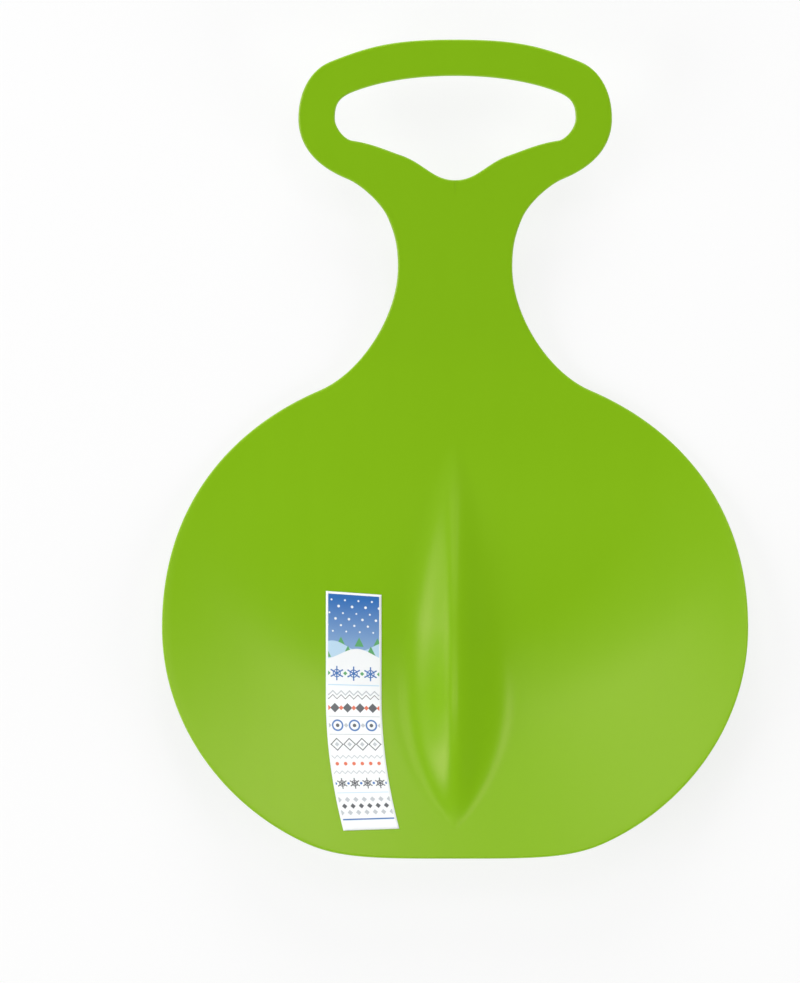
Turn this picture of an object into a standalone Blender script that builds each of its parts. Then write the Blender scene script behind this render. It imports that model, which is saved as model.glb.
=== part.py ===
"""Bum slider: a shallow seat with a pommel ridge, a waisted neck and a loop handle, moulded in one
piece from plastic sheet, with a narrow printed label stuck on the left of the ridge.

Metres, +Z up. The slider lies on its belly with the handle towards +Y. The origin is on the ground
under the middle of the outline.
"""

import math

import bmesh
import bpy
import numpy as np
from mathutils import Vector
from mathutils.geometry import interpolate_bezier

# Lengths along the slider, which add up to 460 mm from tail to grip
SEAT_LENGTH = 0.2634
NECK_LENGTH = 0.0691
HANDLE_LENGTH = 0.1275

# Outline of the seat and neck, seen from above
SEAT_WIDTH = 0.330
TAIL_TO_WIDEST = 0.1303
TAIL_WIDTH = 0.1663
TAIL_CORNER_RISE = 0.0083
SHOULDER_WIDTH = 0.1524
NECK_WIDTH = 0.0644

# Loop handle, with its places along the slider measured back from the end of the grip
THROAT_WIDTH = 0.0754
THROAT_FROM_GRIP = 0.1000
YOKE_WIDTH = 0.1215
YOKE_FROM_GRIP = 0.0779
HANDLE_WIDTH = 0.1762
HANDLE_SIDE_FROM_GRIP = 0.0442
CROWN_WIDTH = 0.1405
CROWN_FROM_GRIP = 0.0124

# Hand hole, inside the loop by the thickness of the grip and of its sides
GRIP_BAR = 0.0203
GRIP_SIDE = 0.0205
HAND_HOLE_DEPTH = 0.0583
HOLE_LIP_WIDTH = 0.0606
HOLE_LIP_RISE = 0.0139
HOLE_CORNER_INSET = 0.0094
HOLE_CORNER_RISE = 0.0222
HOLE_CROWN_INSET = 0.0107
HOLE_CROWN_DROP = 0.0088

# Sheet
WALL = 0.0030
EDGE_ROUND = 0.0011

# Dish of the seat, which turns up round a belly that is flat on the ground
DISH_CENTRE_FROM_WIDEST = 0.100
BELLY_HALF_LENGTH = 0.100
BELLY_HALF_WIDTH = 0.108
DISH_BEND = 0.062
DISH_ANGLE = math.radians(18)

# Rise from the belly to the grip: a gentle apron, then a bend into the neck
APRON_START = 0.070
APRON_BEND = 0.050
APRON_ANGLE = math.radians(5.7)
NECK_BEND_FROM_SHOULDER = 0.002
NECK_BEND = 0.030
NECK_ANGLE = math.radians(15.1)

# Pommel ridge, pointed at both ends
RIDGE_FROM_TAIL = 0.0148
RIDGE_TAIL_HALF = 0.0745
RIDGE_NECK_HALF = 0.152
RIDGE_WIDTH = 0.064
RIDGE_HEIGHT = 0.0155
CREST_FALL = 2.0
CREST_ROUND = 0.009
FLANK_HOLLOW = 2.0

# Label, a strip of printed film to the left of the ridge
LABEL_WIDTH = 0.0314
LABEL_LENGTH = 0.133
LABEL_FILM = 0.00025
LABEL_CLEARANCE = 0.0004
LABEL_TO_RIDGE = 0.0094
LABEL_ABOVE_WIDEST = 0.0190
LABEL_STRAIGHT = 0.058
LABEL_SWING = 0.0100
LABEL_TOP_TILT = math.radians(-4)
LABEL_TAIL_TILT = math.radians(2)

# How finely each stretch is divided
RIDGE_COLUMNS = 6
CREST_CROWDING = 1.5
SEAT_COLUMNS = 8
TAIL_ROWS = 18
FLANK_ROWS = 12
NECK_ROWS = 9
YOKE_ROWS = 9
CROWN_ROWS = 10
SPAN_STEPS = 48
LABEL_COLUMNS = 4
LABEL_ROWS = 16
EDGE_STEPS = 2
EDGE_ANGLE = math.radians(50)
SEAT_ROWS = TAIL_ROWS + FLANK_ROWS

# Places that follow from the sizes
LENGTH = SEAT_LENGTH + NECK_LENGTH + HANDLE_LENGTH
TAIL = -LENGTH / 2
WIDEST = TAIL + TAIL_TO_WIDEST
SHOULDER = TAIL + SEAT_LENGTH
NARROWEST = SHOULDER + NECK_LENGTH
GRIP_END = TAIL + LENGTH
RIDGE_START = TAIL + RIDGE_FROM_TAIL
RIDGE_WIDEST = RIDGE_START + RIDGE_TAIL_HALF
RIDGE_END = RIDGE_WIDEST + RIDGE_NECK_HALF
HOLE_TOP = GRIP_END - GRIP_BAR
CROTCH = HOLE_TOP - HAND_HOLE_DEPTH
HOLE_HALF_WIDTH = HANDLE_WIDTH / 2 - GRIP_SIDE

COLLECTION = "bum_slider"
MERGE = 0.0001
SHELL_COLOUR = (0.216, 0.456, 0.007)
LABEL_COLOUR = (0.86, 0.87, 0.88)


def knot(x, y, heading, pull_in=0.36, pull_out=0.36):
    """A point that an edge passes through, its heading in degrees, and how far it pulls each span."""
    angle = math.radians(heading)
    return Vector((x, y, 0)), Vector((math.cos(angle), math.sin(angle), 0)), pull_in, pull_out


def edge_curve(knots, steps):
    """Evenly spaced points along a smooth edge through the knots, both ends included."""
    points = []
    for (start, out, _, pull_out), (end, into, pull_in, _) in zip(knots, knots[1:]):
        reach = (end - start).length
        first = start + out * reach * pull_out
        second = end - into * reach * pull_in
        points += interpolate_bezier(start, first, second, end, SPAN_STEPS)
    walked = np.cumsum([0.0] + [(b - a).length for a, b in zip(points, points[1:])])
    places = np.linspace(0, walked[-1], steps + 1)
    xs = np.interp(places, walked, [p.x for p in points])
    ys = np.interp(places, walked, [p.y for p in points])
    return [Vector((x, y, 0)) for x, y in zip(xs, ys)]


def outer_edge():
    """The right half of the outline, from the middle of the tail round to the end of the grip."""
    tail = knot(0, TAIL, 0, pull_out=0.50)
    tail_corner = knot(TAIL_WIDTH / 2, TAIL + TAIL_CORNER_RISE, 24, 0.25, 0.34)
    widest = knot(SEAT_WIDTH / 2, WIDEST, 90, 0.38, 0.47)
    shoulder = knot(SHOULDER_WIDTH / 2, SHOULDER, 157, 0.29, 0.31)
    neck = knot(NECK_WIDTH / 2, NARROWEST, 90, 0.33, 0.42)
    throat = knot(THROAT_WIDTH / 2, GRIP_END - THROAT_FROM_GRIP, 67, 0.37, 0.30)
    yoke = knot(YOKE_WIDTH / 2, GRIP_END - YOKE_FROM_GRIP, 22, 0.25, 0.45)
    side = knot(HANDLE_WIDTH / 2, GRIP_END - HANDLE_SIDE_FROM_GRIP, 90, 0.34, 0.42)
    crown = knot(CROWN_WIDTH / 2, GRIP_END - CROWN_FROM_GRIP, 158, 0.32, 0.36)
    grip = knot(0, GRIP_END, 180, pull_in=0.45)
    stretches = (
        ((tail, tail_corner, widest), TAIL_ROWS),
        ((widest, shoulder), FLANK_ROWS),
        ((shoulder, neck, throat), NECK_ROWS),
        ((throat, yoke, side), YOKE_ROWS),
        ((side, crown, grip), CROWN_ROWS),
    )
    return joined([edge_curve(knots, rows) for knots, rows in stretches])


def inner_edge():
    """The ridge's foot, the middle of the neck, then the edge of the hand hole, on the right half."""
    foot = []
    for y in np.linspace(RIDGE_START, RIDGE_END, SEAT_ROWS + 1):
        foot.append(Vector((ridge_half_width(y), y, 0)))
    neck = [Vector((0, y, 0)) for y in np.linspace(RIDGE_END, CROTCH, NECK_ROWS + 1)]
    crotch = knot(0, CROTCH, 0, pull_out=0.37)
    lip = knot(HOLE_LIP_WIDTH / 2, CROTCH + HOLE_LIP_RISE, 19, 0.41, 0.34)
    corner = knot(HOLE_HALF_WIDTH - HOLE_CORNER_INSET, CROTCH + HOLE_CORNER_RISE, 8, 0.39, 0.24)
    side = knot(HOLE_HALF_WIDTH, GRIP_END - HANDLE_SIDE_FROM_GRIP, 90, 0.35, 0.44)
    crown = knot(HOLE_HALF_WIDTH - HOLE_CROWN_INSET, HOLE_TOP - HOLE_CROWN_DROP, 159, 0.50, 0.31)
    top = knot(0, HOLE_TOP, 180, pull_in=0.34)
    yoke = edge_curve((crotch, lip, corner, side), YOKE_ROWS)
    return joined([foot, neck, yoke, edge_curve((side, crown, top), CROWN_ROWS)])


def joined(stretches):
    """One list of points from stretches that meet end to end."""
    return stretches[0] + [point for stretch in stretches[1:] for point in stretch[1:]]


def ridge_swell(y):
    """The ridge's share of its full width at a place along it: 1 at its widest, 0 at its tips."""
    half = RIDGE_TAIL_HALF if y < RIDGE_WIDEST else RIDGE_NECK_HALF
    return max(0.0, 1 - ((y - RIDGE_WIDEST) / half) ** 2)


def ridge_half_width(y):
    return RIDGE_WIDTH / 2 * ridge_swell(y)


def climb(distance, bend):
    """A line that leaves the flat with slope 1, eased in over the bend."""
    if distance <= 0:
        return 0.0
    return distance * distance / (2 * bend) if distance < bend else distance - bend / 2


def dish_height(x, y):
    """The seat turns up at its sides and tail, outside an oval belly."""
    across = x * BELLY_HALF_LENGTH / BELLY_HALF_WIDTH
    back = min(0.0, y - WIDEST - DISH_CENTRE_FROM_WIDEST)
    outside = math.hypot(across, back) - BELLY_HALF_LENGTH
    return math.tan(DISH_ANGLE) * climb(outside, DISH_BEND)


def rise_height(y):
    """The apron climbs gently in front of the sitter, and the neck and handle more steeply."""
    apron_slope = math.tan(APRON_ANGLE)
    extra_slope = math.tan(NECK_ANGLE) - apron_slope
    neck_bend = SHOULDER + NECK_BEND_FROM_SHOULDER
    apron = apron_slope * climb(y - WIDEST - APRON_START, APRON_BEND)
    return apron + extra_slope * climb(y - neck_bend, NECK_BEND)


def ridge_height(x, y):
    """The ridge has hollow flanks and a rounded crest, and gets gentler towards both tips."""
    width = ridge_half_width(y)
    if abs(x) >= width:
        return 0.0
    here = math.hypot(x, CREST_ROUND) + CREST_ROUND
    foot = math.hypot(width, CREST_ROUND) + CREST_ROUND
    down = (x / width) ** 2 * foot / here
    crest = RIDGE_HEIGHT * ridge_swell(y) ** CREST_FALL
    return crest * max(0.0, 1 - down) ** FLANK_HOLLOW


def belly_height(x, y):
    """Height of the sheet's lower face above the ground."""
    return dish_height(x, y) + rise_height(y) + ridge_height(x, y)


def material(name, colour, roughness):
    made = bpy.data.materials.new(name)
    made.use_nodes = True
    shader = made.node_tree.nodes["Principled BSDF"]
    shader.inputs["Base Color"].default_value = (*colour, 1)
    shader.inputs["Roughness"].default_value = roughness
    shader.inputs["Metallic"].default_value = 0
    return made


def sheet(name, place, columns, rows, thickness, two_sided, finish, parts):
    """A grid whose corners go where place(column, row) says, raised straight up by its thickness."""
    grid = bmesh.new()
    bmesh.ops.create_grid(grid, x_segments=columns, y_segments=rows, size=1)
    for corner in grid.verts:
        column = round((corner.co.x + 1) / 2 * columns)
        row = round((corner.co.y + 1) / 2 * rows)
        corner.co = place(column, row)
    bmesh.ops.remove_doubles(grid, verts=grid.verts, dist=MERGE)
    if two_sided:
        half = grid.verts[:] + grid.edges[:] + grid.faces[:]
        bmesh.ops.mirror(grid, geom=half, axis="X", merge_dist=MERGE)
    raised = bmesh.ops.extrude_face_region(grid, geom=grid.faces[:], use_keep_orig=True)["geom"]
    upper = [item for item in raised if isinstance(item, bmesh.types.BMVert)]
    bmesh.ops.translate(grid, verts=upper, vec=(0, 0, thickness))
    bmesh.ops.recalc_face_normals(grid, faces=grid.faces)
    mesh = bpy.data.meshes.new(name)
    grid.to_mesh(mesh)
    grid.free()
    mesh.shade_smooth()
    mesh.materials.append(finish)
    made = bpy.data.objects.new(name, mesh)
    parts.objects.link(made)
    return made


def seat_shell(parts):
    """Seat, ridge, neck and handle: one moulding, made as its right half and mirrored."""
    inner = inner_edge()
    outer = outer_edge()

    def place(column, row):
        foot = inner[row]
        if column > RIDGE_COLUMNS:
            flat = foot.lerp(outer[row], (column - RIDGE_COLUMNS) / SEAT_COLUMNS)
        elif row <= SEAT_ROWS:
            flat = Vector((foot.x * (column / RIDGE_COLUMNS) ** CREST_CROWDING, foot.y, 0))
        else:
            flat = foot
        return Vector((flat.x, flat.y, belly_height(flat.x, flat.y)))

    finish = material("moulded_green_plastic", SHELL_COLOUR, 0.36)
    columns = RIDGE_COLUMNS + SEAT_COLUMNS
    rows = SEAT_ROWS + NECK_ROWS + YOKE_ROWS + CROWN_ROWS
    shell = sheet("seat_shell", place, columns, rows, WALL, True, finish, parts)
    rounding = shell.modifiers.new("edge_rounding", "BEVEL")
    rounding.width = min(EDGE_ROUND, WALL * 0.4)
    rounding.segments = EDGE_STEPS
    rounding.limit_method = "ANGLE"
    rounding.angle_limit = EDGE_ANGLE


def label_sticker(parts):
    """The strip lies on the dish, straight beside the ridge and swinging inwards towards the tail."""
    middle = -(RIDGE_WIDTH / 2 + LABEL_TO_RIDGE + LABEL_WIDTH / 2)
    top = WIDEST + LABEL_ABOVE_WIDEST
    swung = LABEL_LENGTH - LABEL_STRAIGHT

    def place(column, row):
        down = LABEL_LENGTH * (1 - row / LABEL_ROWS)
        across = LABEL_WIDTH * (column / LABEL_COLUMNS - 0.5)
        swing = LABEL_SWING * (max(0.0, down - LABEL_STRAIGHT) / swung) ** 2
        tilt = LABEL_TOP_TILT + (LABEL_TAIL_TILT - LABEL_TOP_TILT) * down / LABEL_LENGTH
        x = middle + swing + across * math.cos(tilt)
        y = top - down + across * math.sin(tilt)
        return Vector((x, y, belly_height(x, y) + WALL + LABEL_CLEARANCE))

    finish = material("printed_label_film", LABEL_COLOUR, 0.3)
    sheet("label_sticker", place, LABEL_COLUMNS, LABEL_ROWS, LABEL_FILM, False, finish, parts)


def main():
    for old in list(bpy.data.objects):
        bpy.data.objects.remove(old)
    parts = bpy.data.collections.new(COLLECTION)
    bpy.context.scene.collection.children.link(parts)
    seat_shell(parts)
    label_sticker(parts)


main()
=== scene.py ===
"""Bum slider, laid out as a Blender add-on.

A snow slider moulded in one piece from green polyethylene sheet: a dished seat with a pommel ridge,
a waisted neck and a loop handle, and a narrow printed label stuck beside the ridge. Metres, +Z up.
The slider lies on its belly with the handle towards +Y.
"""

import math

import bmesh
import bpy
import numpy as np
from bpy.props import FloatProperty, FloatVectorProperty, PointerProperty
from bpy.types import NodeSocket, Operator, Panel, PropertyGroup
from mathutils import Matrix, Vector
from mathutils.geometry import interpolate_bezier


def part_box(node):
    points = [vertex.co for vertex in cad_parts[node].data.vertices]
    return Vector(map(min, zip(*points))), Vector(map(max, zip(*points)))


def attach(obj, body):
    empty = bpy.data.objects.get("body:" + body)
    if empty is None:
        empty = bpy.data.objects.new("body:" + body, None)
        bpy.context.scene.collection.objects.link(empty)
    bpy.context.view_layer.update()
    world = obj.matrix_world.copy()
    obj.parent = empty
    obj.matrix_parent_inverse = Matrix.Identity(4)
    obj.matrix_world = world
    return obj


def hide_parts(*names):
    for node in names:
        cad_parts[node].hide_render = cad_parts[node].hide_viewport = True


bl_info = {
    "name": "Bum slider",
    "version": (1, 0, 0),
    "blender": (4, 5, 0),
    "location": "3D View > Sidebar > Bum slider",
    "description": "Builds a moulded snow slider with its label, on a white studio floor",
    "category": "Add Mesh",
}

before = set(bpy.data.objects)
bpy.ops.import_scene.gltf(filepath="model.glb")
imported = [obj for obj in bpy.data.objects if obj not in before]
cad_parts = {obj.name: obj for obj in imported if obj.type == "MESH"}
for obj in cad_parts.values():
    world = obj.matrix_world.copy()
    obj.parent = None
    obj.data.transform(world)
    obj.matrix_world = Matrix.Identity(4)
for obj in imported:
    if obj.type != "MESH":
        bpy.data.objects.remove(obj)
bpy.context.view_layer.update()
SHELL_LOW, SHELL_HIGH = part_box("seat_shell")
BODY = "root"

# How finely the sheet is divided, and how much its columns crowd towards the ridge's crest
RIDGE_COLUMNS = 18
SEAT_COLUMNS = 30
RIM_COLUMNS = 5
CREST_CROWDING = 1.4
TAIL_ROWS = 66
FLANK_ROWS = 44
NECK_ROWS = 30
YOKE_ROWS = 40
CROWN_ROWS = 40
SPAN_STEPS = 96
LABEL_COLUMNS = 24
LABEL_ROWS = 100

# How near two points are when they become one, in metres, and the millimetres in a metre
MERGE = 0.000001
MILLIMETRES = 1000

# How nodes are laid out: distance across, distance down, and nodes in a row
NODE_ACROSS = 180
NODE_DOWN = 220
NODES_IN_ROW = 9

# Numbers of the Mix node's colour sockets
MIX_SHARE = 0
MIX_UNDER = 6
MIX_OVER = 7
MIX_RESULT = 2

# The print, in millimetres: softness of an ink's edge, the bare margin, where the sky starts and
# ends to pale, and by what share it does
PRINT_BLUR = 0.12
PRINT_MARGIN = 1.3
SKY_TOP = 3.0
SKY_FOOT = 32.0
SKY_PALES = 0.45

# Snow: distance between flakes, and for each row its place below the top, its shift in flakes and
# the flakes' radius
FLAKE_PITCH = 7.6
SNOWFALL = (
    (4.5, 0.15, 0.55), (8.0, 0.62, 0.75), (11.8, 0.30, 0.5), (15.0, 0.85, 0.7), (18.6, 0.45, 0.6),
    (22.0, 0.05, 0.5),
)

# Snow hills from back to front: radians a millimetre, shift in radians, half-height and place of the
# wave, colour, and for the firs behind it their place, distance, shift in firs and half-height
HILLS = (
    (0.21, 0.9, 2.6, 30.0, "ice", (27.6, 10.3, 0.2, 2.6)),
    (0.17, -1.9, 3.0, 34.5, "film", (33.2, 12.9, 0.75, 3.4)),
)

# Patterns of the moulding, in waves or cells a metre, across, along and upwards where these differ,
# and their turns in radians: melt streaks 11 mm wide, pigment clouds of 70 mm, worn patches of 45 mm,
# ripples of 22 mm, mould grain of 0.7 mm, drawn coarser than it is so that it shows, and the long
# cells whose borders are the hair scratches
FLOW_WAVES = (90, 7, 30)
FLOW_TURN = 0.06
CLOUD_WAVES = 14.0
WEAR_WAVES = 22.0
RIPPLE_WAVES = 45.0
GRAIN_WAVES = 1400.0
SCRATCH_CELLS = (260, 11, 60)
SCRATCH_TURN = 0.35

# Pigment of the moulding: the least share of the fresh colour, and what streaks and clouds add to it
FRESH = 0.25
STREAK_SHARE = 0.5
CLOUD_SHARE = 0.5

# Sheen of the moulding: its refractive index and tint, the least roughness, what a dull patch, a hair
# scratch and the rubbed rim add to it, a scratch's half-width as a share of its cell, how much of the
# sheet is free of scratches, and the least drop that counts as rim, in metres
PLASTIC_IOR = 1.54
SHEEN_TINT = (1, 0.66, 0.50, 1)
SATIN = 0.275
CLOUD_MATT = 0.02
HAIR_MATT = 0.03
RIM_MATT = 0.10
HAIR_WIDTH = 0.016
UNWORN = 0.56
RIM_DROP = 0.0001

# Relief of the moulding: its depth in metres, its strength, and the shares of ripples and grain
RELIEF_DEPTH = 0.0003
RELIEF_STRENGTH = 0.10
RIPPLE_SHARE = 1.5
GRAIN_SHARE = 0.35

# Finish of the film: its roughness, the varnish's weight and roughness, and the waves a metre, the
# depth in metres and the strength of its unevenness
FILM_ROUGHNESS = 0.38
VARNISH = 0.35
VARNISH_ROUGHNESS = 0.14
PEEL_WAVES = 520.0
PEEL_DEPTH = 0.0002
PEEL_STRENGTH = 0.10

# Floor: half its width and its gap under the belly in metres, how white it is, and how much of what
# is seen of it glows
FLOOR_HALF = 4
FLOOR_GAP = 0.0003
FLOOR_WHITE = 0.85
FLOOR_GLOW = 0.8

# Camera: height of its sensor in millimetres, and how far it sees in metres
SENSOR = 36
FAR = 100

# Round softboxes: name, compass bearing from +X, angle off the zenith and half-width in degrees,
# radiance, and whether it shows in reflections: two low bright ones stand behind polarisers
SOFTBOXES = (
    ("key_high", 60, 28, 7, 2.7, True),
    ("key_mid", 72, 33, 8, 2.9, True),
    ("key_right", 330, 66, 20, 4.6, False),
    ("key_front", 90, 70, 20, 5.5, False),
    ("wrap_high", 105, 16, 8, 0.7, True),
    ("wrap_mid", 122, 33, 11, 2.5, True),
    ("wrap_low", 172, 54, 10, 1.4, True),
    ("wrap_left", 200, 62, 22, 4.8, True),
    ("sheen_front", 90, 68, 20, 1.2, True),
    ("sheen_back", 270, 68, 20, 1.2, True),
)


def linear(code):
    """An sRGB hex colour as linear red, green and blue."""
    shares = [int(code[i : i + 2], 16) / 255 for i in (0, 2, 4)]
    return tuple(s / 12.92 if s <= 0.04045 else ((s + 0.055) / 1.055) ** 2.4 for s in shares)


def size(name, description, default):
    """A length in metres."""
    return FloatProperty(
        name=name, description=description, default=default, unit="LENGTH", precision=4
    )


def number(name, description, default):
    """A plain number."""
    return FloatProperty(name=name, description=description, default=default)


def slope(name, description, degrees):
    """A rise over run, given by its angle."""
    return number(name, description, math.tan(math.radians(degrees)))


def angle_of(name, description, degrees):
    """An angle."""
    return FloatProperty(
        name=name, description=description, default=math.radians(degrees), subtype="ANGLE"
    )


def tint(name, description, code):
    """A colour, given by its sRGB hex code."""
    return FloatVectorProperty(
        name=name, description=description, default=linear(code), subtype="COLOR", min=0, max=1
    )


class OutlineSizes(PropertyGroup):
    """Sizes seen from above"""

    seat_length: size("Seat length", "Tail to shoulders", 0.2634)
    neck_length: size("Neck length", "Shoulders to the narrowest place", 0.0691)
    handle_length: size("Handle length", "Narrowest place to the end of the grip", 0.1275)
    seat_width: size("Seat width", "Across the seat", SHELL_HIGH.x - SHELL_LOW.x)
    tail_to_widest: size("Tail to widest", "Tail to the widest place", 0.1303)
    tail_width: size("Tail width", "Across the flat of the tail", 0.1663)
    tail_corner_rise: size("Tail corner rise", "How far the tail's corners lie forward", 0.0083)
    shoulder_width: size("Shoulder width", "Across the shoulders", 0.1524)
    neck_width: size("Neck width", "Across the narrowest place", 0.0644)
    throat_width: size("Throat width", "Across the start of the loop", 0.0754)
    throat_from_grip: size("Throat from grip", "Throat to the end of the grip", 0.1000)
    yoke_width: size("Yoke width", "Across the loop where it turns out", 0.1215)
    yoke_from_grip: size("Yoke from grip", "Yoke to the end of the grip", 0.0779)
    handle_width: size("Handle width", "Across the loop", 0.1762)
    side_from_grip: size("Side from grip", "The loop's widest place to the end of the grip", 0.0442)
    crown_width: size("Crown width", "Across the corners of the grip", 0.1405)
    crown_from_grip: size("Crown from grip", "Grip corners to the end of the grip", 0.0124)
    grip_bar: size("Grip bar", "Thickness of the grip, front to back", 0.0203)
    grip_side: size("Grip side", "Thickness of the loop's sides", 0.0205)
    hole_depth: size("Hand hole depth", "Hand hole, front to back", 0.0583)
    lip_width: size("Lip width", "Across the lower edge where it bends", 0.0606)
    lip_rise: size("Lip rise", "Height of that bend over the notch", 0.0139)
    corner_inset: size("Corner inset", "Lower corners, in from the hole's sides", 0.0094)
    corner_rise: size("Corner rise", "Lower corners, over the notch", 0.0222)
    hole_crown_inset: size("Hole crown inset", "Upper corners, in from the sides", 0.0107)
    hole_crown_drop: size("Hole crown drop", "Upper corners, below the hole's top", 0.0088)


class PressSizes(PropertyGroup):
    """Sizes that press the flat sheet into its shape"""

    dish_centre: size("Dish centre", "Place of the dish's middle", SHELL_LOW.y + 0.2303)
    belly_half_length: size("Belly half length", "Dish's middle to where the tail turns up", 0.100)
    belly_half_width: size("Belly half width", "Dish's middle to where the sides turn up", 0.108)
    dish_bend: size("Dish bend", "Length of the bend into the dish's wall", 0.062)
    dish_slope: slope("Dish slope", "Rise over run of the dish's wall", 18)
    apron_start: size("Apron start", "Where the apron starts to climb", SHELL_LOW.y + 0.2003)
    apron_bend: size("Apron bend", "Length of the bend into the apron", 0.050)
    apron_slope: slope("Apron slope", "Rise over run of the apron", 5.7)
    neck_start: size("Neck start", "Where the neck starts to climb", SHELL_LOW.y + 0.2654)
    neck_bend: size("Neck bend", "Length of the bend into the neck", 0.030)
    neck_slope: slope("Neck slope", "Rise over run of the neck and handle", 15.1)
    ridge_widest: size("Ridge widest", "Place of the ridge's widest cross-section", -0.1407)
    ridge_tail_half: size("Ridge tail half", "From there to the rear tip", 0.0745)
    ridge_neck_half: size("Ridge neck half", "From there to the front tip", 0.152)
    ridge_width: size("Ridge width", "Across the ridge's soft foot at its widest", 0.076)
    ridge_height: size("Ridge height", "Height of the crest over the seat", 0.0155)
    crest_fall: number("Crest fall", "How fast the crest sinks towards its tips", 2.0)
    crest_round: size("Crest round", "Rounding of the crest", 0.009)
    flank_hollow: number("Flank hollow", "How hollow the ridge's flanks are", 2.5)


class SheetSizes(PropertyGroup):
    """Sizes of the sheet itself"""

    wall: size("Wall", "Thickness of the sheet", 0.0030)
    edge_round: size("Edge round", "Rounding of the sheet's edges", 0.0011)


class LabelSizes(PropertyGroup):
    """Sizes of the label"""

    width: size("Width", "Across the strip", 0.0314)
    length: size("Length", "Along the strip", 0.133)
    film: size("Film", "Thickness of the film", 0.0002)
    clearance: size("Glue", "Thickness of the glue under the film", 0.0001)
    middle: size("Middle", "Distance of its middle line from the slider's", 0.0571)
    top: size("Top", "Place of its upper edge", SHELL_LOW.y + 0.1493)
    straight: size("Straight", "Length of its straight upper part", 0.058)
    swing: size("Swing", "How far its lower end swings inwards", 0.0100)
    top_tilt: angle_of("Top tilt", "Turn of the upper edge", -4)
    tail_tilt: angle_of("Tail tilt", "Turn of the lower edge", 2)


class Colours(PropertyGroup):
    """Colours of the plastic and the print"""

    plastic_deep: tint("Plastic, deep", "Where the sheet holds most pigment", "7EB211")
    plastic_fresh: tint("Plastic, fresh", "Where the sheet holds least pigment", "82B615")
    plastic_rim: tint("Plastic, rim", "Colour of the scuffed edge", "8ABA2A")
    film: tint("Film", "White of the label's film", "F4F6F7")
    sky: tint("Sky", "Blue band of the print", "2F6DB5")
    ice: tint("Ice", "Pale blue of the print", "BCD9EE")
    ink: tint("Ink", "Dark grey of the print", "4A4D52")
    wool: tint("Wool", "Pale grey of the print", "BFC3C8")
    ember: tint("Ember", "Orange of the print", "E0653A")
    fir: tint("Fir", "Green of the print", "5FA86B")


class StageSettings(PropertyGroup):
    """Camera, lamps and floor"""

    view_height: size("View height", "Height of the picture at the floor", 0.5541)
    view_x: size("View x", "Middle of the picture, across", -0.0310)
    view_y: size("View y", "Middle of the picture, along", -0.0236)
    lens: number("Lens", "Focal length in millimetres", 800)
    fill: number("Fill", "Strength of the even studio light", 0.02)
    lamp_distance: size("Lamp distance", "From the slider to each lamp", 3.0)
    key: number("Key", "Brightness of the key lamps, at the front and the right", 1.0)
    wrap: number("Wrap", "Brightness of all the other lamps", 1.0)


class SliderSettings(PropertyGroup):
    """Everything a user would change"""

    outline: PointerProperty(type=OutlineSizes)
    press: PointerProperty(type=PressSizes)
    sheet: PointerProperty(type=SheetSizes)
    label: PointerProperty(type=LabelSizes)
    colours: PointerProperty(type=Colours)
    stage: PointerProperty(type=StageSettings)


def keys_of(group):
    """The names of a property group's own settings."""
    return [key for key in group.bl_rna.properties.keys() if key not in ("rna_type", "name")]


def add_node(tree, kind, sockets=(), **settings):
    """Adds a node, sets its settings, and links or sets the sockets given by name or number."""
    made = tree.nodes.new(kind)
    down, across = divmod(len(tree.nodes), NODES_IN_ROW)
    made.location = (across * NODE_ACROSS, -down * NODE_DOWN)
    for name, value in settings.items():
        setattr(made, name, value)
    for name, value in dict(sockets).items():
        if isinstance(value, NodeSocket):
            tree.links.new(value, made.inputs[name])
        else:
            made.inputs[name].default_value = value
    return made


def add_sums(tree, known, steps):
    """Adds a chain of Math nodes. Each step is its label, its operation and two or three terms."""
    for label, operation, *terms in steps:
        sockets = {i: known.get(term, term) for i, term in enumerate(terms)}
        known[label] = add_node(
            tree, "ShaderNodeMath", sockets, operation=operation, label=label
        ).outputs[0]


# Outline


def knot(x, y, heading, pull_in=0.36, pull_out=0.36):
    """A point that an edge passes through, its heading there in degrees, and how far this holds over
    the spans before and after it, as shares of their lengths."""
    angle = math.radians(heading)
    return Vector((x, y, 0)), Vector((math.cos(angle), math.sin(angle), 0)), pull_in, pull_out


def edge_curve(knots, steps):
    """Evenly spaced points along a smooth edge through the knots, both ends included."""
    points = []
    for (start, out, _, pull_out), (end, into, pull_in, _) in zip(knots, knots[1:]):
        reach = (end - start).length
        first = start + out * reach * pull_out
        second = end - into * reach * pull_in
        points += interpolate_bezier(start, first, second, end, SPAN_STEPS)
    walked = np.cumsum([0.0] + [(b - a).length for a, b in zip(points, points[1:])])
    places = np.linspace(0, walked[-1], steps + 1)
    xs = np.interp(places, walked, [p.x for p in points])
    ys = np.interp(places, walked, [p.y for p in points])
    return [Vector((x, y, 0)) for x, y in zip(xs, ys)]


def joined(stretches):
    """One list of points from stretches that meet end to end."""
    return stretches[0] + [point for stretch in stretches[1:] for point in stretch[1:]]


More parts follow.
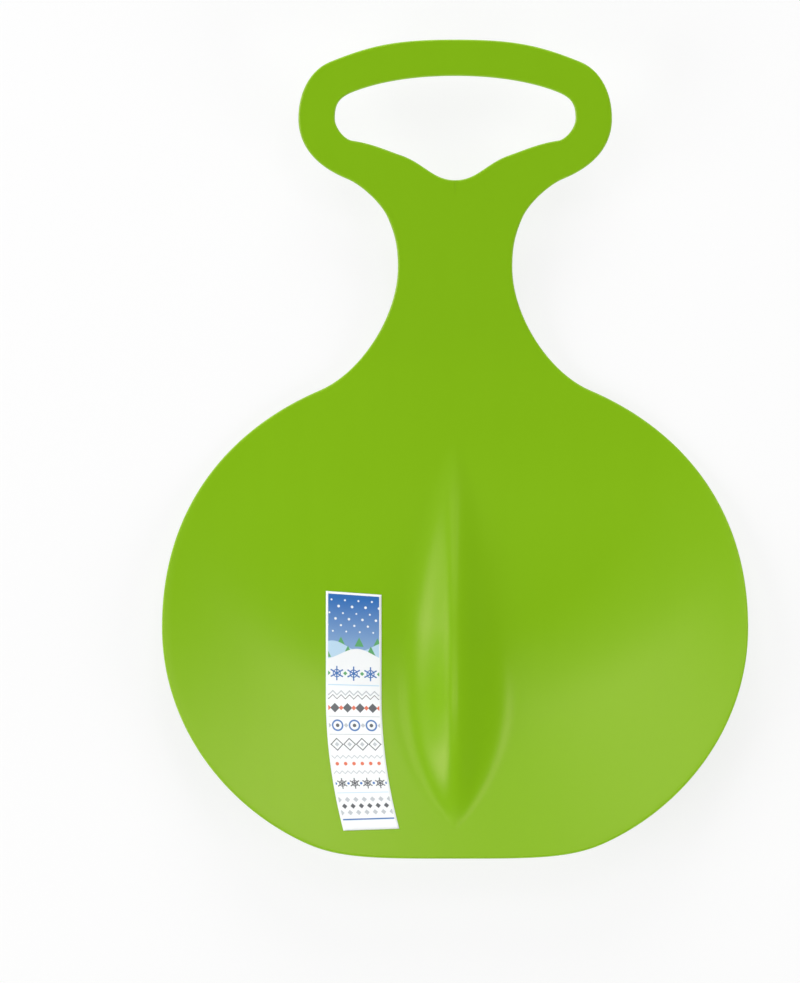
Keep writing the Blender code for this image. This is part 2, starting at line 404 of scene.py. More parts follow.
def outer_edge(outline):
    """The right half of the outline, from the middle of the tail round to the end of the grip."""
    tail_y = SHELL_LOW.y
    grip_y = tail_y + outline.seat_length + outline.neck_length + outline.handle_length
    tail = knot(0, tail_y, 0, pull_out=0.50)
    tail_corner = knot(outline.tail_width / 2, tail_y + outline.tail_corner_rise, 24, 0.25, 0.34)
    widest = knot(outline.seat_width / 2, tail_y + outline.tail_to_widest, 90, 0.38, 0.47)
    shoulder = knot(outline.shoulder_width / 2, tail_y + outline.seat_length, 157, 0.29, 0.31)
    neck = knot(outline.neck_width / 2, grip_y - outline.handle_length, 90, 0.33, 0.42)
    throat = knot(outline.throat_width / 2, grip_y - outline.throat_from_grip, 67, 0.37, 0.30)
    yoke = knot(outline.yoke_width / 2, grip_y - outline.yoke_from_grip, 22, 0.25, 0.45)
    side = knot(outline.handle_width / 2, grip_y - outline.side_from_grip, 90, 0.34, 0.42)
    crown = knot(outline.crown_width / 2, grip_y - outline.crown_from_grip, 158, 0.32, 0.36)
    grip = knot(0, grip_y, 180, pull_in=0.45)
    stretches = (
        ((tail, tail_corner, widest), TAIL_ROWS),
        ((widest, shoulder), FLANK_ROWS),
        ((shoulder, neck, throat), NECK_ROWS),
        ((throat, yoke, side), YOKE_ROWS),
        ((side, crown, grip), CROWN_ROWS),
    )
    return joined([edge_curve(knots, rows) for knots, rows in stretches])


def hole_edge(outline):
    """The right half of the hand hole's edge, from its notch round to its top."""
    grip_y = SHELL_LOW.y + outline.seat_length + outline.neck_length + outline.handle_length
    top_y = grip_y - outline.grip_bar
    notch_y = top_y - outline.hole_depth
    half = outline.handle_width / 2 - outline.grip_side
    notch = knot(0, notch_y, 0, pull_out=0.37)
    lip = knot(outline.lip_width / 2, notch_y + outline.lip_rise, 19, 0.41, 0.34)
    corner = knot(half - outline.corner_inset, notch_y + outline.corner_rise, 8, 0.39, 0.24)
    side = knot(half, grip_y - outline.side_from_grip, 90, 0.35, 0.44)
    crown = knot(half - outline.hole_crown_inset, top_y - outline.hole_crown_drop, 159, 0.50, 0.31)
    top = knot(0, top_y, 180, pull_in=0.34)
    yoke = edge_curve((notch, lip, corner, side), YOKE_ROWS)
    return joined([yoke, edge_curve((side, crown, top), CROWN_ROWS)])


def inwards(edge, turn):
    """The direction into the sheet at each point of an edge, turned by the sign from its heading."""
    ways = []
    for i, _ in enumerate(edge):
        before = edge[max(i - 1, 0)]
        after = edge[min(i + 1, len(edge) - 1)]
        along = (after - before).normalized()
        if i in (0, len(edge) - 1):
            along = Vector((math.copysign(1, along.x), 0, 0))
        ways.append(Vector((-along.y, along.x, 0)) * turn)
    return ways


def seat_blank(outline, press, sheet):
    """The flat sheet as a grid: rows run from the middle, or from the hand hole, to the outer edge."""
    outer = outer_edge(outline)
    outer_ways = inwards(outer, 1)
    hole = hole_edge(outline)
    hole_ways = inwards(hole, -1)
    seat_rows = TAIL_ROWS + FLANK_ROWS
    neck_rows = seat_rows + NECK_ROWS
    rows = neck_rows + YOKE_ROWS + CROWN_ROWS
    columns = RIDGE_COLUMNS + SEAT_COLUMNS + 2 * RIM_COLUMNS
    ridge_start = press.ridge_widest - press.ridge_tail_half
    ridge_end = press.ridge_widest + press.ridge_neck_half
    neck_end = hole[0].y - sheet.edge_round
    middle = joined([
        [Vector((0, y, 0)) for y in np.linspace(ridge_start, ridge_end, seat_rows + 1)],
        [Vector((0, y, 0)) for y in np.linspace(ridge_end, neck_end, NECK_ROWS + 1)],
    ])

    def rim(column):
        """How far in from the edge, and how far down, the rounding is at a rim column."""
        angle = math.pi / 2 * column / RIM_COLUMNS
        return sheet.edge_round * (1 - math.cos(angle)), sheet.edge_round * (1 - math.sin(angle))

    def place(column, row):
        """Where a corner of the grid lies, and how far down."""
        loop = row - neck_rows
        outside = columns - column
        if outside < RIM_COLUMNS:
            inset, drop = rim(outside)
            return outer[row] + outer_ways[row] * inset, drop
        if column < RIM_COLUMNS:
            if loop < 0:
                return middle[row], 0.0
            inset, drop = rim(column)
            return hole[loop] + hole_ways[loop] * inset, drop
        start = middle[row] if loop < 0 else hole[loop] + hole_ways[loop] * sheet.edge_round
        end = outer[row] + outer_ways[row] * sheet.edge_round
        step = column - RIM_COLUMNS
        even = step / (RIDGE_COLUMNS + SEAT_COLUMNS)
        guide = press.ridge_width / 2 / max((end - start).length, press.ridge_width)
        if step <= RIDGE_COLUMNS:
            crowded = guide * (step / RIDGE_COLUMNS) ** CREST_CROWDING
        else:
            crowded = guide + (1 - guide) * (step - RIDGE_COLUMNS) / SEAT_COLUMNS
        settle = min(max((row - seat_rows) / (neck_rows - seat_rows), 0.0), 1.0)
        share = crowded + (even - crowded) * settle * settle * (3 - 2 * settle)
        return start.lerp(end, share), 0.0

    grid = bmesh.new()
    drops = grid.verts.layers.float.new("edge_drop")
    bmesh.ops.create_grid(grid, x_segments=columns, y_segments=rows, size=1)
    for corner in grid.verts:
        column = round((corner.co.x + 1) / 2 * columns)
        row = round((corner.co.y + 1) / 2 * rows)
        corner.co, corner[drops] = place(column, row)
    bmesh.ops.remove_doubles(grid, verts=grid.verts, dist=MERGE)
    half = grid.verts[:] + grid.edges[:] + grid.faces[:]
    bmesh.ops.mirror(grid, geom=half, axis="X", merge_dist=MERGE)
    bmesh.ops.recalc_face_normals(grid, faces=grid.faces)
    if sum(face.normal.z for face in grid.faces) < 0:
        bmesh.ops.reverse_faces(grid, faces=grid.faces)
    return grid


def label_blank(label):
    """The flat strip as a grid with a UV map: straight above, swinging inwards towards the tail."""
    grid = bmesh.new()
    grid.verts.layers.float.new("edge_drop")
    sheet_map = grid.loops.layers.uv.new("print")
    bmesh.ops.create_grid(grid, x_segments=LABEL_COLUMNS, y_segments=LABEL_ROWS, size=1)
    for face in grid.faces:
        for loop in face.loops:
            loop[sheet_map].uv = (loop.vert.co.xy + Vector((1, 1))) / 2
    for corner in grid.verts:
        across = label.width * corner.co.x / 2
        down = label.length * (1 - corner.co.y) / 2
        swung = max(0.0, down - label.straight) / (label.length - label.straight)
        tilt = label.top_tilt + (label.tail_tilt - label.top_tilt) * down / label.length
        corner.co.x = label.swing * swung**2 - label.middle + across * math.cos(tilt)
        corner.co.y = label.top - down + across * math.sin(tilt)
    return grid


# Pressing


def climb(name):
    """Steps for a line that leaves the flat with slope 1, eased in over its bend."""
    return (
        (name + "_ahead", "MAXIMUM", name + "_run", 0.0),
        (name + "_bent", "MINIMUM", name + "_ahead", name + "_bend"),
        (name + "_arc", "MULTIPLY", name + "_bent", name + "_bent"),
        (name + "_double", "MULTIPLY", name + "_bend", 2.0),
        (name + "_eased", "DIVIDE", name + "_arc", name + "_double"),
        (name + "_rest", "SUBTRACT", name + "_ahead", name + "_bent"),
        (name + "_climb", "ADD", name + "_eased", name + "_rest"),
    )


def press_tree(sizes):
    """Geometry Nodes that press a flat sheet over the seat's form and give it its thickness."""
    tree = bpy.data.node_groups.new("press_sheet", "GeometryNodeTree")
    keys = [*keys_of(sizes), "lift", "thickness"]
    face = tree.interface
    face.new_socket("Geometry", in_out="INPUT", socket_type="NodeSocketGeometry")
    for key in keys:
        face.new_socket(key, in_out="INPUT", socket_type="NodeSocketFloat")
    face.new_socket("material", in_out="INPUT", socket_type="NodeSocketMaterial")
    face.new_socket("Geometry", in_out="OUTPUT", socket_type="NodeSocketGeometry")
    given = add_node(tree, "NodeGroupInput")
    known = {key: given.outputs[key] for key in keys}
    position = add_node(tree, "GeometryNodeInputPosition").outputs[0]
    spot = add_node(tree, "ShaderNodeSeparateXYZ", {0: position})
    known["x"], known["y"] = spot.outputs[0], spot.outputs[1]
    known["drop"] = add_node(
        tree, "GeometryNodeInputNamedAttribute", {"Name": "edge_drop"}, data_type="FLOAT"
    ).outputs[0]
    add_sums(tree, known, (
        # The dish: how far a point lies outside the flat oval belly
        ("oval", "DIVIDE", "belly_half_length", "belly_half_width"),
        ("across", "MULTIPLY", "x", "oval"),
        ("from_centre", "SUBTRACT", "y", "dish_centre"),
        ("back", "MINIMUM", "from_centre", 0.0),
        ("across_squared", "MULTIPLY", "across", "across"),
        ("reach_squared", "MULTIPLY_ADD", "back", "back", "across_squared"),
        ("reach", "SQRT", "reach_squared"),
        ("dish_run", "SUBTRACT", "reach", "belly_half_length"),
        *climb("dish"),
        ("dish", "MULTIPLY", "dish_climb", "dish_slope"),
        # The apron and the neck
        ("apron_run", "SUBTRACT", "y", "apron_start"),
        *climb("apron"),
        ("neck_run", "SUBTRACT", "y", "neck_start"),
        *climb("neck"),
        ("neck_extra", "SUBTRACT", "neck_slope", "apron_slope"),
        ("floor", "MULTIPLY_ADD", "apron_climb", "apron_slope", "dish"),
        ("seat", "MULTIPLY_ADD", "neck_climb", "neck_extra", "floor"),
        # The ridge: a rounded crest with hollow flanks, pointed at both ends
        ("from_widest", "SUBTRACT", "y", "ridge_widest"),
        ("tailward", "MINIMUM", "from_widest", 0.0),
        ("neckward", "MAXIMUM", "from_widest", 0.0),
        ("tail_share", "DIVIDE", "tailward", "ridge_tail_half"),
        ("neck_share", "DIVIDE", "neckward", "ridge_neck_half"),
        ("tail_part", "MULTIPLY", "tail_share", "tail_share"),
        ("narrowed", "MULTIPLY_ADD", "neck_share", "neck_share", "tail_part"),
        ("left_over", "SUBTRACT", 1.0, "narrowed"),
        ("swell", "MAXIMUM", "left_over", 0.0),
        ("half_ridge", "MULTIPLY", "ridge_width", 0.5),
        ("foot", "MULTIPLY", "half_ridge", "swell"),
        ("round_squared", "MULTIPLY", "crest_round", "crest_round"),
        ("here_squared", "MULTIPLY_ADD", "x", "x", "round_squared"),
        ("here_far", "SQRT", "here_squared"),
        ("here", "ADD", "here_far", "crest_round"),
        ("foot_squared", "MULTIPLY_ADD", "foot", "foot", "round_squared"),
        ("foot_far", "SQRT", "foot_squared"),
        ("foot_reach", "ADD", "foot_far", "crest_round"),
        ("out", "DIVIDE", "x", "foot"),
        ("out_squared", "MULTIPLY", "out", "out"),
        ("stretch", "DIVIDE", "foot_reach", "here"),
        ("down", "MULTIPLY", "out_squared", "stretch"),
        ("up", "SUBTRACT", 1.0, "down"),
        ("flank", "MAXIMUM", "up", 0.0),
        ("hollowed", "POWER", "flank", "flank_hollow"),
        ("sunk", "POWER", "swell", "crest_fall"),
        ("crest", "MULTIPLY", "sunk", "ridge_height"),
        ("pressed", "MULTIPLY_ADD", "hollowed", "crest", "seat"),
        ("raised", "ADD", "pressed", "lift"),
        ("lower", "ADD", "raised", "drop"),
        ("rounding", "MULTIPLY", "drop", -2.0),
    ))
    up = add_node(tree, "ShaderNodeCombineXYZ", {"Z": known["lower"]})
    under = add_node(
        tree, "GeometryNodeSetPosition",
        {"Geometry": given.outputs["Geometry"], "Offset": up.outputs[0]},
    )
    wall = add_node(tree, "ShaderNodeCombineXYZ", {"Z": known["thickness"]})
    raised = add_node(
        tree, "GeometryNodeExtrudeMesh",
        {"Mesh": under.outputs[0], "Offset": wall.outputs[0], "Offset Scale": 1.0, "Individual": False},
    )
    lowered = add_node(tree, "ShaderNodeCombineXYZ", {"Z": known["rounding"]})
    over = add_node(
        tree, "GeometryNodeSetPosition",
        {"Geometry": raised.outputs["Mesh"], "Selection": raised.outputs["Top"],
         "Offset": lowered.outputs[0]},
    )
    belly = add_node(tree, "GeometryNodeFlipFaces", {"Mesh": under.outputs[0]})
    both = add_node(tree, "GeometryNodeJoinGeometry", {"Geometry": over.outputs[0]})
    tree.links.new(belly.outputs[0], both.inputs[0])
    closed = add_node(
        tree, "GeometryNodeMergeByDistance", {"Geometry": both.outputs[0], "Distance": MERGE}
    )
    smooth = add_node(tree, "GeometryNodeSetShadeSmooth", {"Geometry": closed.outputs[0]})
    real = add_node(tree, "GeometryNodeRealizeInstances", {"Geometry": smooth.outputs[0]})
    finished = add_node(
        tree, "GeometryNodeSetMaterial",
        {"Geometry": real.outputs[0], "Material": given.outputs["material"]},
    )
    add_node(tree, "NodeGroupOutput", {"Geometry": finished.outputs[0]})
    return tree


def pressed(name, blank, sizes, lift, thickness, material):
    """The blank pressed by the node tree, as a plain mesh object at the origin."""
    flat = bpy.data.meshes.new(name)
    blank.to_mesh(flat)
    blank.free()
    rough = bpy.data.objects.new(name + "_blank", flat)
    bpy.context.scene.collection.objects.link(rough)
    tree = bpy.data.node_groups.get("press_sheet") or press_tree(sizes)
    pressing = rough.modifiers.new("pressing", "NODES")
    pressing.node_group = tree
    given = {key: getattr(sizes, key) for key in keys_of(sizes)}
    given.update(lift=lift, thickness=thickness, material=material)
    for socket in tree.interface.items_tree:
        if socket.name in given:
            pressing[socket.identifier] = given[socket.name]
    graph = bpy.context.evaluated_depsgraph_get()
    mesh = bpy.data.meshes.new_from_object(rough.evaluated_get(graph), depsgraph=graph)
    mesh.name = name
    rough.modifiers.remove(pressing)
    bpy.data.objects.remove(rough)
    piece = bpy.data.objects.new(name, mesh)
    bpy.context.scene.collection.objects.link(piece)
    return piece


# Finishes


def new_material(name):
    """An empty material with its Principled shader, and the tree that holds it."""
    made = bpy.data.materials.new(name)
    made.use_nodes = True
    return made, made.node_tree, made.node_tree.nodes["Principled BSDF"]


def layer(tree, ground, share, colour):
    """A colour laid over the ground where the share is 1."""
    return add_node(
        tree, "ShaderNodeMix", {MIX_SHARE: share, MIX_UNDER: ground, MIX_OVER: (*colour, 1)},
        data_type="RGBA",
    ).outputs[MIX_RESULT]


def moulded_polyethylene(colours):
    """High-density polyethylene pressed on a bead-blasted mould: an even satin sheen that goes slightly
    yellow where it is bright, a pigment that isn't quite even, faint streaks where the melt flowed
    towards the handle, and a fine grain with a few hair scratches that only show in a highlight."""
    made, tree, shader = new_material("moulded_polyethylene")
    where = add_node(tree, "ShaderNodeTexCoord").outputs["Object"]
    along_flow = add_node(
        tree, "ShaderNodeMapping",
        {"Vector": where, "Scale": FLOW_WAVES, "Rotation": (0, 0, FLOW_TURN)},
    )
    flow = add_node(
        tree, "ShaderNodeTexNoise",
        {"Vector": along_flow.outputs[0], "Scale": 1.0, "Detail": 4.0},
    )
    cloud = add_node(
        tree, "ShaderNodeTexNoise", {"Vector": where, "Scale": CLOUD_WAVES, "Detail": 3.0}
    )
    grain = add_node(
        tree, "ShaderNodeTexNoise", {"Vector": where, "Scale": GRAIN_WAVES, "Detail": 2.0}
    )
    ripple = add_node(
        tree, "ShaderNodeTexNoise", {"Vector": where, "Scale": RIPPLE_WAVES, "Detail": 1.0}
    )
    across_scratch = add_node(
        tree, "ShaderNodeMapping",
        {"Vector": where, "Scale": SCRATCH_CELLS, "Rotation": (0, 0, SCRATCH_TURN)},
    )
    scratch = add_node(
        tree, "ShaderNodeTexVoronoi",
        {"Vector": across_scratch.outputs[0], "Scale": 1.0, "Randomness": 1.0},
        feature="DISTANCE_TO_EDGE",
    )
    patch = add_node(
        tree, "ShaderNodeTexNoise", {"Vector": where, "Scale": WEAR_WAVES, "Detail": 2.0}
    )
    rim = add_node(tree, "ShaderNodeAttribute", attribute_name="edge_drop")
    known = {
        "flow": flow.outputs["Fac"], "cloud": cloud.outputs["Fac"], "grain": grain.outputs["Fac"],
        "ripple": ripple.outputs["Fac"], "scratch": scratch.outputs["Distance"],
        "patch": patch.outputs["Fac"], "rim": rim.outputs["Fac"],
    }
    add_sums(tree, known, (
        ("streak", "MULTIPLY_ADD", "flow", STREAK_SHARE, FRESH),
        ("pigment", "MULTIPLY_ADD", "cloud", CLOUD_SHARE, "streak"),
        ("thin", "LESS_THAN", "scratch", HAIR_WIDTH),
        ("worn_here", "GREATER_THAN", "patch", UNWORN),
        ("hair", "MULTIPLY", "thin", "worn_here"),
        ("edge", "GREATER_THAN", "rim", RIM_DROP),
        ("matt_cloud", "MULTIPLY_ADD", "cloud", CLOUD_MATT, SATIN),
        ("matt_hair", "MULTIPLY_ADD", "hair", HAIR_MATT, "matt_cloud"),
        ("matt", "MULTIPLY_ADD", "edge", RIM_MATT, "matt_hair"),
        ("fine", "MULTIPLY", "grain", GRAIN_SHARE),
        ("relief", "MULTIPLY_ADD", "ripple", RIPPLE_SHARE, "fine"),
    ))
    body = layer(tree, (*colours.plastic_deep, 1), known["pigment"], colours.plastic_fresh)
    scuffed = layer(tree, body, known["edge"], colours.plastic_rim)
    bump = add_node(
        tree, "ShaderNodeBump",
        {"Height": known["relief"], "Strength": RELIEF_STRENGTH, "Distance": RELIEF_DEPTH},
    )
    tree.links.new(scuffed, shader.inputs["Base Color"])
    tree.links.new(known["matt"], shader.inputs["Roughness"])
    tree.links.new(bump.outputs[0], shader.inputs["Normal"])
    shader.inputs["IOR"].default_value = PLASTIC_IOR
    shader.inputs["Specular Tint"].default_value = SHEEN_TINT
    return made


def inked():
    """Steps from how far a place lies outside a shape, in mm, to how much of it the ink covers."""
    return (
        ("softened", "MULTIPLY_ADD", "outside", -1 / PRINT_BLUR, 0.5),
        ("ink", "MINIMUM", "softened", 1.0),
        ("covered", "MAXIMUM", "ink", 0.0),
    )


def motif_row(tree, known, kind, row, colour, ground):
    """Prints one row of a motif over the ground: where it lies, how far apart and how large, in mm."""
    centre, pitch, shift, radius, stroke = row
    here = {"across": known["across"], "down": known["down"]}
    add_sums(tree, here, (
        ("cells", "MULTIPLY_ADD", "across", 1 / pitch, shift),
        ("cell", "FRACT", "cells"),
        ("x", "MULTIPLY_ADD", "cell", pitch, -pitch / 2),
        ("y", "SUBTRACT", "down", centre),
        ("ax", "ABSOLUTE", "x"),
        ("ay", "ABSOLUTE", "y"),
        *MOTIFS[kind](radius, stroke),
        *inked(),
    ))
    return layer(tree, ground, here["covered"], colour)


def from_centre():
    """The distance from the motif's centre."""
    return (
        ("xx", "MULTIPLY", "x", "x"),
        ("far_squared", "MULTIPLY_ADD", "y", "y", "xx"),
        ("far", "SQRT", "far_squared"),
    )


def dot(radius, _):
    """A full disc."""
    return (*from_centre(), ("outside", "SUBTRACT", "far", radius))


def ring(radius, stroke):
    """A circle drawn with a pen as wide as the stroke."""
    return (
        *from_centre(),
        ("off", "SUBTRACT", "far", radius),
        ("off_ring", "ABSOLUTE", "off"),
        ("outside", "SUBTRACT", "off_ring", stroke / 2),
    )


def diamond(radius, _):
    """A full square standing on its corner."""
    return (("sum", "ADD", "ax", "ay"), ("outside", "SUBTRACT", "sum", radius))


def open_diamond(radius, stroke):
    """The outline of a diamond."""
    return (
        ("sum", "ADD", "ax", "ay"),
        ("off", "SUBTRACT", "sum", radius),
        ("off_line", "ABSOLUTE", "off"),
        ("outside", "SUBTRACT", "off_line", stroke / 2),
    )


def zigzag(radius, stroke):
    """A line that turns at every motif's middle and edge."""
    return (
        ("peak", "SUBTRACT", "y", "ax"),
        ("off", "ADD", "peak", radius),
        ("off_line", "ABSOLUTE", "off"),
        ("outside", "SUBTRACT", "off_line", stroke / 2),
    )


def rule(_, stroke):
    """A straight line across the strip."""
    return (("outside", "SUBTRACT", "ay", stroke / 2),)


def fir_tree(radius, _):
    """A slim triangle with its foot down."""
    return (
        ("slant", "MULTIPLY_ADD", "y", -0.5, "ax"),
        ("slope", "SUBTRACT", "slant", radius / 2),
        ("foot", "SUBTRACT", "ay", radius),
        ("outside", "MAXIMUM", "slope", "foot"),
    )


def crystal(radius, stroke):
    """Three bars crossed at 60 degrees, one upright, cut off by a circle."""
    lean, rise = math.sin(math.radians(30)), math.cos(math.radians(30))
    return (
        *from_centre(),
        ("leaning", "MULTIPLY", "x", lean),
        ("one", "MULTIPLY_ADD", "y", rise, "leaning"),
        ("two", "MULTIPLY_ADD", "y", -rise, "leaning"),
        ("off_one", "ABSOLUTE", "one"),
        ("off_two", "ABSOLUTE", "two"),
        ("nearer", "MINIMUM", "off_one", "off_two"),
        ("nearest", "MINIMUM", "nearer", "ax"),
        ("off_bar", "SUBTRACT", "nearest", stroke / 2),
        ("off_circle", "SUBTRACT", "far", radius),
        ("outside", "MAXIMUM", "off_bar", "off_circle"),
    )


MOTIFS = {
    "dot": dot, "ring": ring, "diamond": diamond, "open_diamond": open_diamond, "zigzag": zigzag,
    "rule": rule, "fir_tree": fir_tree, "crystal": crystal,
}

# The winter pattern printed below the sky: motif, place below the strip's top, distance between
# motifs, shift in motifs, radius and stroke in millimetres, and colour
PATTERN = (
    ("crystal", 45.5, 9.5, 0.5, 4.0, 0.75, "sky"),
    ("ring", 45.5, 9.5, 0.5, 2.0, 0.55, "sky"),
    ("diamond", 45.5, 9.5, 0.0, 1.2, 0.0, "fir"),
    ("rule", 52.0, 9.5, 0.0, 0.0, 0.5, "ice"),
    ("zigzag", 56.2, 4.7, 0.0, 0.9, 0.9, "wool"),
    ("zigzag", 58.4, 4.7, 0.0, 0.9, 0.5, "ink"),
    ("diamond", 64.8, 7.1, 0.0, 2.7, 0.0, "ink"),
    ("diamond", 64.8, 7.1, 0.5, 1.4, 0.0, "ember"),
    ("rule", 69.6, 9.5, 0.0, 0.0, 0.35, "wool"),
    ("ring", 74.6, 9.5, 0.5, 2.8, 0.9, "sky"),
    ("dot", 74.6, 9.5, 0.5, 1.0, 0.0, "ink"),
    ("diamond", 74.6, 9.5, 0.0, 1.3, 0.0, "wool"),
    ("rule", 79.6, 9.5, 0.0, 0.0, 0.35, "wool"),
    ("open_diamond", 85.2, 7.1, 0.0, 3.3, 0.7, "ink"),
    ("diamond", 85.2, 7.1, 0.0, 1.3, 0.0, "wool"),
    ("zigzag", 92.0, 3.2, 0.0, 0.6, 0.6, "wool"),
    ("dot", 96.0, 4.7, 0.0, 1.0, 0.0, "ember"),
    ("zigzag", 100.6, 3.2, 0.5, 0.6, 0.6, "wool"),
    ("crystal", 107.0, 7.1, 0.0, 3.0, 0.6, "ink"),
    ("ring", 107.0, 7.1, 0.0, 1.5, 0.45, "ink"),
    ("dot", 107.0, 7.1, 0.5, 0.7, 0.0, "sky"),
    ("rule", 112.2, 9.5, 0.0, 0.0, 0.35, "ice"),
    ("diamond", 116.0, 4.7, 0.5, 1.5, 0.0, "wool"),
    ("diamond", 119.6, 4.7, 0.0, 1.5, 0.0, "ink"),
    ("diamond", 123.2, 4.7, 0.5, 1.5, 0.0, "wool"),
    ("rule", 127.0, 9.5, 0.0, 0.0, 0.8, "sky"),
)


def printed_film(colours, label):
    """White polypropylene film printed in flat inks with a generic winter pattern and varnished: crisp
    edges to each ink under one thin gloss, over film that is a little uneven from the moulding's
    grain."""
    made, tree, shader = new_material("printed_film")
    sheet_map = add_node(tree, "ShaderNodeUVMap", uv_map="print")
    spot = add_node(tree, "ShaderNodeSeparateXYZ", {0: sheet_map.outputs[0]})
    width, length = label.width * MILLIMETRES, label.length * MILLIMETRES
    known = {"u": spot.outputs[0], "v": spot.outputs[1]}
    add_sums(tree, known, (
        ("across", "MULTIPLY_ADD", "u", width, -width / 2),
        ("down", "MULTIPLY_ADD", "v", -length, length),
    ))
    pale = add_node(
        tree, "ShaderNodeMapRange",
        {"Value": known["down"], "From Min": SKY_TOP, "From Max": SKY_FOOT, "To Max": SKY_PALES},
    )
    paint = layer(tree, (*colours.sky, 1), pale.outputs[0], colours.ice)
    for place, shift, radius in SNOWFALL:
        row = (place, FLAKE_PITCH, shift, radius, 0.0)
        paint = motif_row(tree, known, "dot", row, colours.film, paint)
    for turn, shift, swell, place, colour, firs in HILLS:
        paint = motif_row(tree, known, "fir_tree", (*firs, 0.0), colours.fir, paint)
        add_sums(tree, known, (
            ("roll", "MULTIPLY_ADD", "across", turn, shift),
            ("wave", "SINE", "roll"),
            ("hill", "MULTIPLY_ADD", "wave", swell, place),
            ("outside", "SUBTRACT", "hill", "down"),
            *inked(),
        ))
        paint = layer(tree, paint, known["covered"], getattr(colours, colour))
    for kind, place, pitch, shift, radius, stroke, colour in PATTERN:
        row = (place, pitch, shift, radius, stroke)
        paint = motif_row(tree, known, kind, row, getattr(colours, colour), paint)
    # The white margin, where the inks stop short of the cut edge
    add_sums(tree, known, (
        ("from_middle", "ABSOLUTE", "across"),
        ("past_side", "SUBTRACT", "from_middle", width / 2 - PRINT_MARGIN),
        ("from_centre", "SUBTRACT", "down", length / 2),
        ("from_centre_far", "ABSOLUTE", "from_centre"),
        ("past_end", "SUBTRACT", "from_centre_far", length / 2 - PRINT_MARGIN),
        ("past", "MAXIMUM", "past_side", "past_end"),
        ("bare", "GREATER_THAN", "past", 0.0),
    ))
    paint = layer(tree, paint, known["bare"], colours.film)
    where = add_node(tree, "ShaderNodeTexCoord").outputs["Object"]
    peel = add_node(
        tree, "ShaderNodeTexNoise", {"Vector": where, "Scale": PEEL_WAVES, "Detail": 1.5}
    )
    bump = add_node(
        tree, "ShaderNodeBump",
        {"Height": peel.outputs["Fac"], "Strength": PEEL_STRENGTH, "Distance": PEEL_DEPTH},
    )
    tree.links.new(paint, shader.inputs["Base Color"])
    tree.links.new(bump.outputs[0], shader.inputs["Normal"])
    shader.inputs["Roughness"].default_value = FILM_ROUGHNESS
    shader.inputs["Coat Weight"].default_value = VARNISH
    shader.inputs["Coat Roughness"].default_value = VARNISH_ROUGHNESS
    return made


# Operators


class SeatShellOperator(Operator):
    """Makes the slider's one moulding: seat, pommel ridge, neck and loop handle"""

    bl_idname = "bum_slider.seat_shell"
    bl_label = "Seat shell"

    def execute(self, context):
        settings = context.scene.bum_slider
        blank = seat_blank(settings.outline, settings.press, settings.sheet)
        finish = moulded_polyethylene(settings.colours)
        wall = settings.sheet.wall
        shell = pressed("shell_moulding", blank, settings.press, 0.0, wall, finish)
        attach(shell, BODY)
        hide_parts("seat_shell")
        return {"FINISHED"}


class LabelOperator(Operator):
    """Lays the printed strip on the seat, to the left of the ridge"""

    bl_idname = "bum_slider.label"
    bl_label = "Label"

    def execute(self, context):
        settings = context.scene.bum_slider
        label = settings.label
        blank = label_blank(label)
        finish = printed_film(settings.colours, label)
        lift = settings.sheet.wall + label.clearance
        strip = pressed("label_strip", blank, settings.press, lift, label.film, finish)
        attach(strip, BODY)
        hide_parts("label_sticker")
        return {"FINISHED"}


def studio_paint():
    """White floor paint: evenly bright where it is seen, with the slider's shadow kept on it, and clear
    from below so that the belly can be looked at."""
    made = bpy.data.materials.new("studio_paint")
    made.use_nodes = True
    tree = made.node_tree
    tree.nodes.clear()
    path = add_node(tree, "ShaderNodeLightPath")
    known = {
        "camera": path.outputs["Is Camera Ray"], "glossy": path.outputs["Is Glossy Ray"],
        "through": path.outputs["Is Transmission Ray"],
    }
    add_sums(tree, known, (
        ("seen", "ADD", "camera", "glossy"),
        ("seen_or_through", "ADD", "seen", "through"),
        ("share", "MULTIPLY", "seen_or_through", FLOOR_GLOW),
    ))
    paint = add_node(tree, "ShaderNodeBsdfDiffuse", {"Color": (FLOOR_WHITE,) * 3 + (1,)})
    glow = add_node(tree, "ShaderNodeEmission", {"Strength": 1.0})
    lit = add_node(
        tree, "ShaderNodeMixShader", {0: known["share"], 1: paint.outputs[0], 2: glow.outputs[0]}
    )
    clear = add_node(tree, "ShaderNodeBsdfTransparent")
    side = add_node(tree, "ShaderNodeNewGeometry")
    one_way = add_node(
        tree, "ShaderNodeMixShader",
        {0: side.outputs["Backfacing"], 1: lit.outputs[0], 2: clear.outputs[0]},
    )
    add_node(tree, "ShaderNodeOutputMaterial", {"Surface": one_way.outputs[0]})
    return made


def floor():
    """A large flat floor just under the belly."""
    plane = bmesh.new()
    bmesh.ops.create_grid(plane, x_segments=1, y_segments=1, size=FLOOR_HALF)
    bmesh.ops.translate(plane, verts=plane.verts, vec=(0, 0, -FLOOR_GAP))
    mesh = bpy.data.meshes.new("floor")
    plane.to_mesh(mesh)
    plane.free()
    mesh.materials.append(studio_paint())
    made = bpy.data.objects.new("floor", mesh)
    bpy.context.scene.collection.objects.link(made)


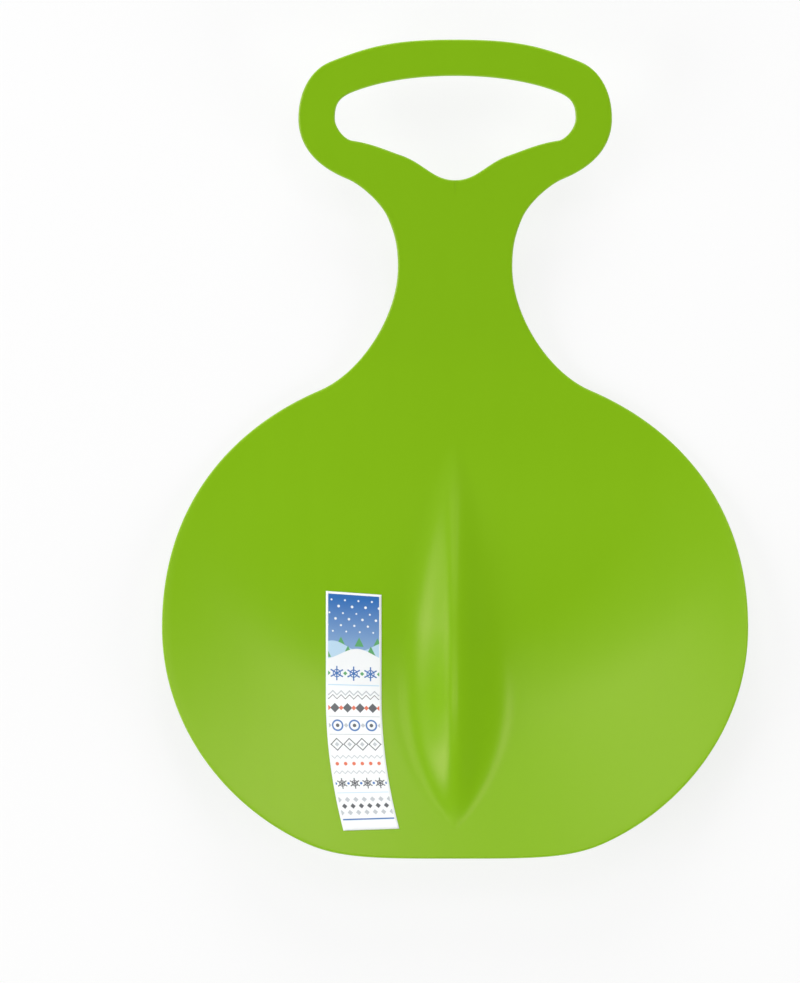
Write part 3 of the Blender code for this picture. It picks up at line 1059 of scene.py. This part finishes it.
def softbox(name, azimuth, zenith, half_angle, radiance, mirrored, distance):
    """A round softbox that faces the slider, given by how it looks from there."""
    radius = distance * math.tan(math.radians(half_angle))
    lamp = bpy.data.lights.new(name, "AREA")
    lamp.shape = "DISK"
    lamp.size = 2 * radius
    # A disc of radiance 1 gives off pi watts for each square metre
    lamp.energy = radiance * (math.pi * radius) ** 2
    around, down = math.radians(azimuth), math.radians(zenith)
    flat = math.sin(down)
    away = Vector((math.cos(around) * flat, math.sin(around) * flat, math.cos(down)))
    made = bpy.data.objects.new(name, lamp)
    made.location = away * distance
    made.rotation_euler = away.to_track_quat("Z", "Y").to_euler()
    made.visible_camera = False
    made.visible_glossy = mirrored
    bpy.context.scene.collection.objects.link(made)


class StageOperator(Operator):
    """Sets up the white floor, the lamps and the camera straight above"""

    bl_idname = "bum_slider.stage"
    bl_label = "Stage"

    def execute(self, context):
        stage = context.scene.bum_slider.stage
        context.scene.view_settings.view_transform = "Standard"
        floor()
        world = bpy.data.worlds.new("studio")
        world.use_nodes = True
        air = world.node_tree.nodes["Background"]
        air.inputs["Color"].default_value = (1, 1, 1, 1)
        air.inputs["Strength"].default_value = stage.fill
        context.scene.world = world
        for name, azimuth, zenith, half_angle, radiance, mirrored in SOFTBOXES:
            level = radiance * (stage.key if name.startswith("key") else stage.wrap)
            softbox(name, azimuth, zenith, half_angle, level, mirrored, stage.lamp_distance)
        lens = bpy.data.cameras.new("camera")
        lens.lens = stage.lens
        lens.sensor_fit = "VERTICAL"
        lens.sensor_height = SENSOR
        lens.clip_end = FAR
        camera = bpy.data.objects.new("camera", lens)
        away = stage.view_height * stage.lens / SENSOR
        camera.location = (stage.view_x, stage.view_y, away)
        context.scene.collection.objects.link(camera)
        context.scene.camera = camera
        return {"FINISHED"}


class SliderPanel(Panel):
    """Buttons and sizes in the 3D view's sidebar"""

    bl_idname = "VIEW3D_PT_bum_slider"
    bl_label = "Bum slider"
    bl_space_type = "VIEW_3D"
    bl_region_type = "UI"
    bl_category = "Bum slider"

    def draw(self, context):
        settings = context.scene.bum_slider
        for operator in OPERATORS:
            self.layout.operator(operator.bl_idname)
        for part in keys_of(settings):
            group = getattr(settings, part)
            box = self.layout.box()
            for key in keys_of(group):
                box.prop(group, key)


GROUPS = (
    OutlineSizes, PressSizes, SheetSizes, LabelSizes, Colours, StageSettings, SliderSettings,
)
OPERATORS = (SeatShellOperator, LabelOperator, StageOperator)


def register():
    for kind in (*GROUPS, *OPERATORS, SliderPanel):
        bpy.utils.register_class(kind)
    bpy.types.Scene.bum_slider = PointerProperty(type=SliderSettings)


def unregister():
    del bpy.types.Scene.bum_slider
    for kind in reversed((*GROUPS, *OPERATORS, SliderPanel)):
        bpy.utils.unregister_class(kind)


def main():
    register()
    bpy.ops.bum_slider.seat_shell()
    bpy.ops.bum_slider.label()
    bpy.ops.bum_slider.stage()


if __name__ == "__main__":
    main()
